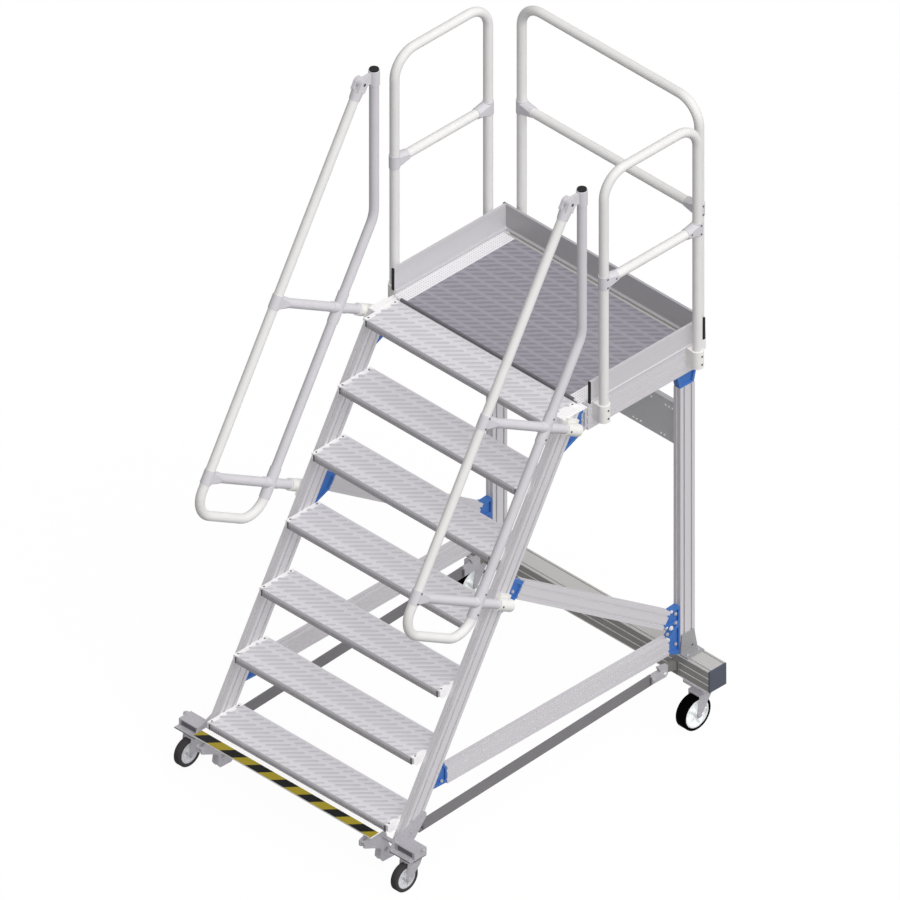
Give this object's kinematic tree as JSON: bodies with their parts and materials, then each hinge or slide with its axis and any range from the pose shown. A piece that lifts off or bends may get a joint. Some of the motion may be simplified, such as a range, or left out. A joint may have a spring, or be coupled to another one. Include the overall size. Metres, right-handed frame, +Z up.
{
  "type": "mobile platform steps",
  "caption": "Aluminium platform stairs on swivel castors: a steep flight with handrails, a guarded platform with toe boards, a braced frame and a striped foot bar.",
  "frame": {"origin": "on the floor, under the middle of the whole part's box", "axes": "+Z up; +Y from the foot of the flight to the back of the platform; +X to the right of a person who climbs"},
  "size_m": [1.412, 1.8529, 2.858],
  "materials": {
    "frame_profile": "satin anodised extrusion",
    "tread_plank": "ribbed mill finish",
    "end_plate": "satin",
    "toe_profile": "satin anodised extrusion",
    "sheet": "rolled sheet",
    "deck_board": "embossed anti-slip film",
    "white_tube": "pale satin tube",
    "silver_tube": "satin anodised tube",
    "cast_fitting": "pale cast alloy",
    "blue_joint": "blue powder coat",
    "zinc_steel": "zinc plated",
    "tie_steel": "dark coated flat bar",
    "slate_cap": "moulded",
    "black_cap": "moulded",
    "hazard_panel": "yellow and black stripes in a white edge",
    "wheel_centre": "moulded wheel centre",
    "grey_tyre": "dark grey rubber",
    "black_tyre": "black rubber"
  },
  "bodies": {
    "frame": {"stringer_left": "frame_profile", "stringer_right": "frame_profile", "stringer_heads": "frame_profile", "rear_post_left": "frame_profile", "rear_post_right": "frame_profile", "rear_traverse": "frame_profile", "base_beams": "frame_profile", "braces": "frame_profile", "platform_beam_left": "frame_profile", "platform_beam_right": "frame_profile", "platform_cross_beams": "frame_profile", "tread_1": "tread_plank", "tread_2": "tread_plank", "tread_3": "tread_plank", "tread_4": "tread_plank", "tread_5": "tread_plank", "tread_6": "tread_plank", "tread_7": "tread_plank", "tread_ends": "end_plate", "deck_strips": "end_plate", "toe_board_left": "toe_profile", "toe_board_right": "toe_profile", "toe_board_rear": "toe_profile", "rear_cross_plate": "sheet", "post_gussets": "sheet", "deck_panel": "deck_board", "guard_hoop_left": "white_tube", "guard_hoop_right": "white_tube", "guard_hoop_rear": "white_tube", "guard_midrails": "white_tube", "stair_rail_left": "white_tube", "stair_rail_right": "white_tube", "knee_rails": "silver_tube", "cross_tubes": "silver_tube", "guard_fittings": "cast_fitting", "guard_sockets": "cast_fitting", "rail_fittings": "cast_fitting", "rail_heads": "cast_fitting", "rail_brackets": "cast_fitting", "blue_connectors": "blue_joint", "castor_brackets": "zinc_steel", "castor_plates": "zinc_steel", "treadle_levers": "zinc_steel", "treadle_shafts": "zinc_steel", "tie_bars": "tie_steel", "traverse_caps": "slate_cap", "black_caps": "black_cap", "treadle_bar": "hazard_panel"},
    "front_left_fork": {"castor_front_fork_left": "zinc_steel"},
    "front_left_wheel": {"castor_front_rim_left": "wheel_centre", "castor_front_tyre_left": "grey_tyre"},
    "front_right_fork": {"castor_front_fork_right": "zinc_steel"},
    "front_right_wheel": {"castor_front_rim_right": "wheel_centre", "castor_front_tyre_right": "grey_tyre"},
    "rear_left_fork": {"castor_rear_fork_left": "zinc_steel"},
    "rear_left_wheel": {"castor_rear_rim_left": "wheel_centre", "castor_rear_tyre_left": "black_tyre"},
    "rear_right_fork": {"castor_rear_fork_right": "zinc_steel"},
    "rear_right_wheel": {"castor_rear_rim_right": "wheel_centre", "castor_rear_tyre_right": "black_tyre"}
  },
  "joints": [
    {"name": "front_left_swivel", "type": "hinge", "parent": "frame", "child": "front_left_fork", "pos_m": [-0.6, -0.8025, 0.145], "axis": [0, 0, 1], "continuous": true},
    {"name": "front_left_roll", "type": "hinge", "parent": "front_left_fork", "child": "front_left_wheel", "pos_m": [-0.6, -0.8405, 0.0625], "axis": [1, 0, 0], "continuous": true},
    {"name": "front_right_swivel", "type": "hinge", "parent": "frame", "child": "front_right_fork", "pos_m": [0.6, -0.8025, 0.145], "axis": [0, 0, 1], "continuous": true},
    {"name": "front_right_roll", "type": "hinge", "parent": "front_right_fork", "child": "front_right_wheel", "pos_m": [0.6, -0.8405, 0.0625], "axis": [1, 0, 0], "continuous": true},
    {"name": "rear_left_swivel", "type": "hinge", "parent": "frame", "child": "rear_left_fork", "pos_m": [-0.62, 0.791, 0.17], "axis": [0, 0, 1], "continuous": true},
    {"name": "rear_left_roll", "type": "hinge", "parent": "rear_left_fork", "child": "rear_left_wheel", "pos_m": [-0.62, 0.738, 0.075], "axis": [1, 0, 0], "continuous": true},
    {"name": "rear_right_swivel", "type": "hinge", "parent": "frame", "child": "rear_right_fork", "pos_m": [0.62, 0.791, 0.17], "axis": [0, 0, 1], "continuous": true},
    {"name": "rear_right_roll", "type": "hinge", "parent": "rear_right_fork", "child": "rear_right_wheel", "pos_m": [0.62, 0.738, 0.075], "axis": [1, 0, 0], "continuous": true}
  ]
}
